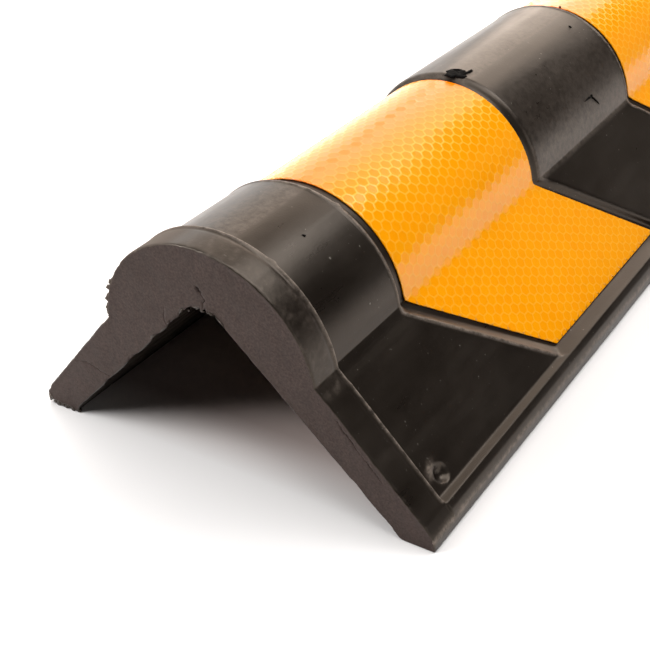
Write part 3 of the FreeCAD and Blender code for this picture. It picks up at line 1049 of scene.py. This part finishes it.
def sheet_shape(start, random):
    """Points of a sheet, how pale each is, and its faces as (corners, tone, smooth)."""
    regions = sheet_regions(start)
    numbers = {}
    points = []
    paleness = []
    faces = []
    for arc, along in cell_centres(start):
        tone = float(random.random())
        polygons = cell_polygons(arc, along)
        plane = cell_plane(polygons[0])
        for polygon in polygons:
            for region in regions:
                corners = clipped(polygon, region)
                found = [point_number(corner, plane, numbers, points, paleness) for corner in corners]
                face = list(dict.fromkeys(found))
                if len(face) >= 3:
                    faces.append((face, tone, polygon is not polygons[0]))
    return points, paleness, faces


def build_sheet(number, node, start, material):
    """One sheet with its raised honeycomb, closed underneath."""
    points, paleness, faces = sheet_shape(start, np.random.default_rng(100 + number))
    name = "honeycomb_sheet_%d" % number
    mesh = add_mesh(name, points, [corners for corners, tone, smooth in faces])
    mesh.polygons.foreach_set("use_smooth", [smooth for corners, tone, smooth in faces])
    turns = np.array([math.degrees(math.atan2(abs(x), z - NOSE_HEIGHT)) for x, y, z in points])
    # Painted shade: the film is darkened over the top of the nose, standing in for the weaker light that
    # falls there.
    add_values(mesh, "painted_top_shade", bell(turns, 0.0, 20.0))
    add_values(mesh, "cell_wall", paleness)
    add_values(mesh, "cell_tone", [tone for corners, tone, smooth in faces], "FACE")
    mesh.materials.append(material)
    mesh.validate()
    mesh.update()
    piece = add_object(name, mesh)
    shell = piece.modifiers.new("thickness", "SOLIDIFY")
    shell.thickness = SHELL_THICKNESS * METRE
    shell.offset = -1.0
    shell.use_rim = True
    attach(piece, "root")
    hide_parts(node)


# ---------------------------------------------------------------- materials
def new_material(name):
    material = bpy.data.materials.new(name)
    material.use_nodes = True
    tree = material.node_tree
    shader = tree.nodes["Principled BSDF"]
    return material, tree, shader


def attribute(tree, name):
    """Values that a mesh carries under this name."""
    node = tree.nodes.new("ShaderNodeAttribute")
    node.attribute_name = name
    return node.outputs["Fac"]


def object_place(tree, scale=(1.0, 1.0, 1.0)):
    """Object coordinates in metres, stretched by scale."""
    place = tree.nodes.new("ShaderNodeTexCoord")
    mapping = tree.nodes.new("ShaderNodeMapping")
    mapping.inputs["Scale"].default_value = scale
    tree.links.new(place.outputs["Object"], mapping.inputs["Vector"])
    return mapping.outputs["Vector"]


def add_noise(tree, vector, scale, detail, rough):
    node = tree.nodes.new("ShaderNodeTexNoise")
    node.inputs["Scale"].default_value = scale
    node.inputs["Detail"].default_value = detail
    node.inputs["Roughness"].default_value = rough
    tree.links.new(vector, node.inputs["Vector"])
    return node.outputs["Fac"]


def add_ramp(tree, value, stops):
    """Colour ramp through (position, colour) stops."""
    ramp = tree.nodes.new("ShaderNodeValToRGB")
    elements = ramp.color_ramp.elements
    while len(elements) < len(stops):
        elements.new(0.5)
    for element, (position, colour) in zip(elements, stops):
        element.position = position
        element.color = (*colour, 1.0) if len(colour) == 3 else colour
    tree.links.new(value, ramp.inputs["Fac"])
    return ramp.outputs["Color"]


def grey(value):
    return (value, value, value)


def mix_colour(tree, share, first, second, blend="MIX"):
    mix = tree.nodes.new("ShaderNodeMix")
    mix.data_type = "RGBA"
    mix.blend_type = blend
    if isinstance(share, float):
        mix.inputs[0].default_value = share
    else:
        tree.links.new(share, mix.inputs[0])
    for socket, value in ((mix.inputs[6], first), (mix.inputs[7], second)):
        if isinstance(value, tuple):
            socket.default_value = (*value, 1.0)
        else:
            tree.links.new(value, socket)
    return mix.outputs[2]


def add_math(tree, operation, first, second):
    node = tree.nodes.new("ShaderNodeMath")
    node.operation = operation
    for socket, value in zip(node.inputs, (first, second)):
        if isinstance(value, float):
            socket.default_value = value
        else:
            tree.links.new(value, socket)
    return node.outputs[0]


def add_bump(tree, height, strength, distance, before=None):
    bump = tree.nodes.new("ShaderNodeBump")
    bump.inputs["Strength"].default_value = strength
    bump.inputs["Distance"].default_value = distance
    tree.links.new(height, bump.inputs["Height"])
    if before is not None:
        tree.links.new(before, bump.inputs["Normal"])
    return bump.outputs["Normal"]


def moulded_rubber():
    """Black moulded rubber: semi-gloss, with smears, fine scratches and dust, and painted sheen and
    highlights.
    """
    material, tree, shader = new_material("moulded_rubber")
    place = object_place(tree)
    smear = add_noise(tree, place, 28.0, 5.0, 0.6)
    streak = add_noise(tree, object_place(tree, (1.0, 0.12, 1.0)), 160.0, 3.0, 0.6)
    specks = add_noise(tree, place, 700.0, 2.0, 0.5)
    patches = add_noise(tree, place, 45.0, 3.0, 0.6)
    scuffs = add_noise(tree, place, 420.0, 5.0, 0.7)
    base = add_ramp(tree, smear, [(0.3, (0.0066, 0.0047, 0.0035)), (0.75, (0.0122, 0.0092, 0.0071))])
    dust = add_ramp(tree, specks, [(0.715, grey(0.0)), (0.76, grey(1.0))])
    patch_mask = add_ramp(tree, patches, [(0.42, grey(0.0)), (0.62, grey(0.9))])
    dust_mask = mix_colour(tree, 1.0, dust, patch_mask, "MULTIPLY")
    colour = mix_colour(tree, dust_mask, base, (0.16, 0.145, 0.125))
    # This attribute holds dust and scuffs together with painted sheen, painted reflection and painted
    # highlight lines, all mixed towards the pale dusty colour below.
    wear_and_sheen = attribute(tree, "wear_and_sheen")
    broken = add_ramp(tree, scuffs, [(0.36, grey(0.15)), (0.62, grey(1.3))])
    wear_and_sheen_mask = mix_colour(tree, 1.0, wear_and_sheen, broken, "MULTIPLY")
    colour = mix_colour(tree, wear_and_sheen_mask, colour, (0.185, 0.150, 0.124))
    # Painted sheen: the left of the end strips is painted paler here, and made rougher below.
    dull_and_sheen = attribute(tree, "dull_and_sheen")
    colour = mix_colour(tree, add_math(tree, "MULTIPLY", dull_and_sheen, 0.5), colour, (0.150, 0.118, 0.098))
    tree.links.new(colour, shader.inputs["Base Color"])
    rough = add_ramp(tree, streak, [(0.25, grey(0.27)), (0.8, grey(0.40))])
    uneven = add_ramp(tree, smear, [(0.3, grey(0.85)), (0.8, grey(1.2))])
    rough = mix_colour(tree, 1.0, rough, uneven, "MULTIPLY")
    rough = mix_colour(tree, wear_and_sheen_mask, rough, grey(0.55))
    rough = mix_colour(tree, dull_and_sheen, rough, grey(0.85))
    tree.links.new(rough, shader.inputs["Roughness"])
    shader.inputs["IOR"].default_value = 1.52
    shader.inputs["Specular Tint"].default_value = (1.0, 0.83, 0.68, 1.0)
    grain = add_noise(tree, place, 1500.0, 2.0, 0.5)
    soft = add_noise(tree, place, 120.0, 3.0, 0.5)
    normal = add_bump(tree, soft, 0.10, 0.0006)
    normal = add_bump(tree, grain, 0.10, 0.0002, normal)
    tree.links.new(normal, shader.inputs["Normal"])
    return material


def cut_rubber():
    """Dull end face with a fine grain, faint flow marks and painted shade in its cracks."""
    material, tree, shader = new_material("cut_rubber")
    place = object_place(tree)
    cloud = add_noise(tree, place, 60.0, 5.0, 0.6)
    flow = add_noise(tree, object_place(tree, (1.0, 1.0, 0.35)), 320.0, 4.0, 0.65)
    grain = add_noise(tree, place, 1300.0, 3.0, 0.65)
    base = add_ramp(tree, cloud, [(0.3, (0.0400, 0.0270, 0.0236)), (0.75, (0.0520, 0.0355, 0.0312))])
    lines = add_ramp(tree, flow, [(0.3, grey(0.78)), (0.7, grey(1.16))])
    colour = mix_colour(tree, 1.0, base, lines, "MULTIPLY")
    fine = add_ramp(tree, grain, [(0.3, grey(0.62)), (0.7, grey(1.36))])
    colour = mix_colour(tree, 1.0, colour, fine, "MULTIPLY")
    # Painted shade: the end face is darkened in its cracks, more the deeper they go.
    crack = attribute(tree, "crack")
    colour = mix_colour(tree, crack, colour, (0.0022, 0.0016, 0.0014))
    tree.links.new(colour, shader.inputs["Base Color"])
    rough = add_ramp(tree, flow, [(0.3, grey(0.62)), (0.8, grey(0.8))])
    tree.links.new(rough, shader.inputs["Roughness"])
    shader.inputs["Specular IOR Level"].default_value = 0.35
    shader.inputs["Specular Tint"].default_value = (1.0, 0.84, 0.76, 1.0)
    normal = add_bump(tree, flow, 0.25, 0.0004)
    normal = add_bump(tree, grain, 0.35, 0.0003, normal)
    tree.links.new(normal, shader.inputs["Normal"])
    return material


def torn_rubber():
    """Matt black rubber inside a tear."""
    material, tree, shader = new_material("torn_rubber")
    ragged = add_noise(tree, object_place(tree), 900.0, 4.0, 0.7)
    colour = add_ramp(tree, ragged, [(0.4, (0.0012, 0.0010, 0.0008)), (0.85, (0.008, 0.006, 0.005))])
    tree.links.new(colour, shader.inputs["Base Color"])
    rough = add_ramp(tree, ragged, [(0.3, grey(0.75)), (0.7, grey(0.95))])
    tree.links.new(rough, shader.inputs["Roughness"])
    shader.inputs["Specular IOR Level"].default_value = 0.12
    normal = add_bump(tree, ragged, 0.8, 0.0006)
    tree.links.new(normal, shader.inputs["Normal"])
    return material


def honeycomb_film():
    """Glossy amber film with paler raised cell walls, partly a painted highlight, and painted shade over
    the top of the nose.
    """
    material, tree, shader = new_material("honeycomb_film")
    wall = attribute(tree, "cell_wall")
    tone = attribute(tree, "cell_tone")
    place = object_place(tree)
    cloud = add_noise(tree, place, 30.0, 4.0, 0.5)
    fine = add_noise(tree, place, 900.0, 2.0, 0.5)
    cell = add_ramp(tree, tone, [(0.0, (1.0, 0.345, 0.0010)), (1.0, (1.0, 0.365, 0.0014))])
    shade = add_ramp(tree, cloud, [(0.3, grey(0.96)), (0.7, grey(1.0))])
    cell = mix_colour(tree, 1.0, cell, shade, "MULTIPLY")
    # Walls are mixed towards pale yellow: their own paler colour, plus a painted highlight near the nose
    # top.
    colour = mix_colour(tree, wall, cell, (1.0, 0.56, 0.060))
    # Painted shade: less green and blue over the top of the nose.
    deep = attribute(tree, "painted_top_shade")
    colour = mix_colour(tree, deep, colour, (0.97, 0.60, 0.60), "MULTIPLY")
    tree.links.new(colour, shader.inputs["Base Color"])
    rough = add_ramp(tree, cloud, [(0.3, grey(0.15)), (0.7, grey(0.22))])
    tree.links.new(rough, shader.inputs["Roughness"])
    shader.inputs["IOR"].default_value = 1.5
    shader.inputs["Specular IOR Level"].default_value = 0.42
    normal = add_bump(tree, fine, 0.05, 0.0002)
    tree.links.new(normal, shader.inputs["Normal"])
    return material


def floor_paper():
    """White paper with painted shade under the guard: tinted browner and darker there, most just inside its
    ends, standing in for the dim light off the rubber.
    """
    material, tree, shader = new_material("floor_paper")
    place = object_place(tree)
    cloud = add_noise(tree, place, 6.0, 2.0, 0.5)
    colour = add_ramp(tree, cloud, [(0.2, (0.885, 0.862, 0.850)), (0.8, (0.905, 0.882, 0.870))])
    parts = tree.nodes.new("ShaderNodeSeparateXYZ")
    tree.links.new(place, parts.inputs["Vector"])
    across = add_math(tree, "ABSOLUTE", parts.outputs["X"], 0.0)
    along = add_math(tree, "ABSOLUTE", parts.outputs["Y"], 0.0)
    # Painted shade: the floor under the guard is tinted darker and browner, where its shadow falls.
    under = add_ramp(tree, across, [(0.066, grey(1.0)), (0.076, grey(0.0))])
    painted_shade_stops = [(0.356, (0.98, 0.82, 0.76)), (0.376, (0.64, 0.54, 0.51)), (0.398, (1.0, 1.0, 1.0))]
    painted_shade_tint = add_ramp(tree, along, painted_shade_stops)
    colour = mix_colour(tree, under, colour, painted_shade_tint, "MULTIPLY")
    tree.links.new(colour, shader.inputs["Base Color"])
    shader.inputs["Roughness"].default_value = 0.8
    shader.inputs["Specular IOR Level"].default_value = 0.1
    return material


# ---------------------------------------------------------------- stage and light
FLOOR_HALF = 4.0


def add_floor():
    corners = [
        (-FLOOR_HALF, -FLOOR_HALF, 0.0),
        (FLOOR_HALF, -FLOOR_HALF, 0.0),
        (FLOOR_HALF, FLOOR_HALF, 0.0),
        (-FLOOR_HALF, FLOOR_HALF, 0.0),
    ]
    mesh = bpy.data.meshes.new("floor")
    mesh.from_pydata(corners, [], [(0, 1, 2, 3)])
    mesh.materials.append(floor_paper())
    floor = add_object("floor", mesh)


LIGHT_DISTANCE = 2.2
LIGHT_TARGET = Vector((0.0, -0.3, 0.03))
NEUTRAL = (1.0, 1.0, 1.0)
WARM = (1.0, 0.86, 0.74)
SOFTBOXES = (
    # name, azimuth from +X and elevation in degrees, width and height in metres, brightness, colour
    ("front_left", 216.0, 33.0, 1.20, 0.855, 10.8, NEUTRAL),
    ("front_left_high", 240.0, 57.0, 1.384, 0.855, 1.70, NEUTRAL),
    ("front_right", 324.0, 33.0, 1.20, 0.855, 0.25, NEUTRAL),
    ("left_high", 180.0, 57.0, 1.384, 0.855, 0.6, NEUTRAL),
    ("right_low", 0.0, 11.0, 1.40, 0.855, 1.50, NEUTRAL),
    ("right_high", 60.0, 57.0, 1.384, 0.855, 4.60, NEUTRAL),
    ("back_right_low", 72.0, 11.0, 1.40, 0.855, 0.19, WARM),
    ("back_low", 104.0, 11.0, 1.40, 0.855, 4.8, WARM),
    ("back", 108.0, 33.0, 1.20, 0.855, 2.5, WARM),
    ("back_high", 120.0, 57.0, 1.384, 0.855, 0.50, WARM),
    ("back_left_low", 142.0, 11.0, 1.40, 0.855, 1.7, NEUTRAL),
    ("back_left", 144.0, 33.0, 1.20, 0.855, 1.75, WARM),
    ("top", 0.0, 84.0, 1.60, 1.60, 4.0, NEUTRAL),
)


def area_light(name, width, height, brightness, colour):
    """Rectangular soft light, whose power goes with its size."""
    data = bpy.data.lights.new(name, "AREA")
    data.shape = "RECTANGLE"
    data.size = width
    data.size_y = height
    data.energy = brightness * math.pi * width * height
    data.color = colour
    return add_object(name, data)


def add_softbox(name, azimuth, elevation, *looks):
    """Soft light on a dome round the near end of the guard."""
    light = area_light(name, *looks)
    turn = math.radians(azimuth)
    rise = math.radians(elevation)
    away = Vector((math.cos(turn) * math.cos(rise), math.sin(turn) * math.cos(rise), math.sin(rise)))
    light.location = LIGHT_TARGET + away * LIGHT_DISTANCE
    light.rotation_euler = (-away).to_track_quat("-Z", "Y").to_euler()


def add_floor_glow():
    """Light above the floor behind the guard's left side, so that the floor there is bright."""
    light = area_light("floor_glow", 0.8, 0.8, 3.2, NEUTRAL)
    light.location = (-0.72, 0.36, 0.45)
    light.visible_glossy = False


def add_lights():
    for softbox in SOFTBOXES:
        add_softbox(*softbox)
    add_floor_glow()
    world = bpy.data.worlds.new("studio")
    world.use_nodes = True
    world.node_tree.nodes["Background"].inputs["Strength"].default_value = 0.0
    bpy.context.scene.world = world


bpy.context.scene.view_settings.view_transform = "Standard"
build_body((moulded_rubber(), cut_rubber(), torn_rubber()))
FILM = honeycomb_film()
for sheet_number, (sheet_node, sheet_start) in enumerate(zip(SHEET_NODES, SHEET_STARTS), start=1):
    build_sheet(sheet_number, sheet_node, sheet_start, FILM)
add_floor()
add_lights()
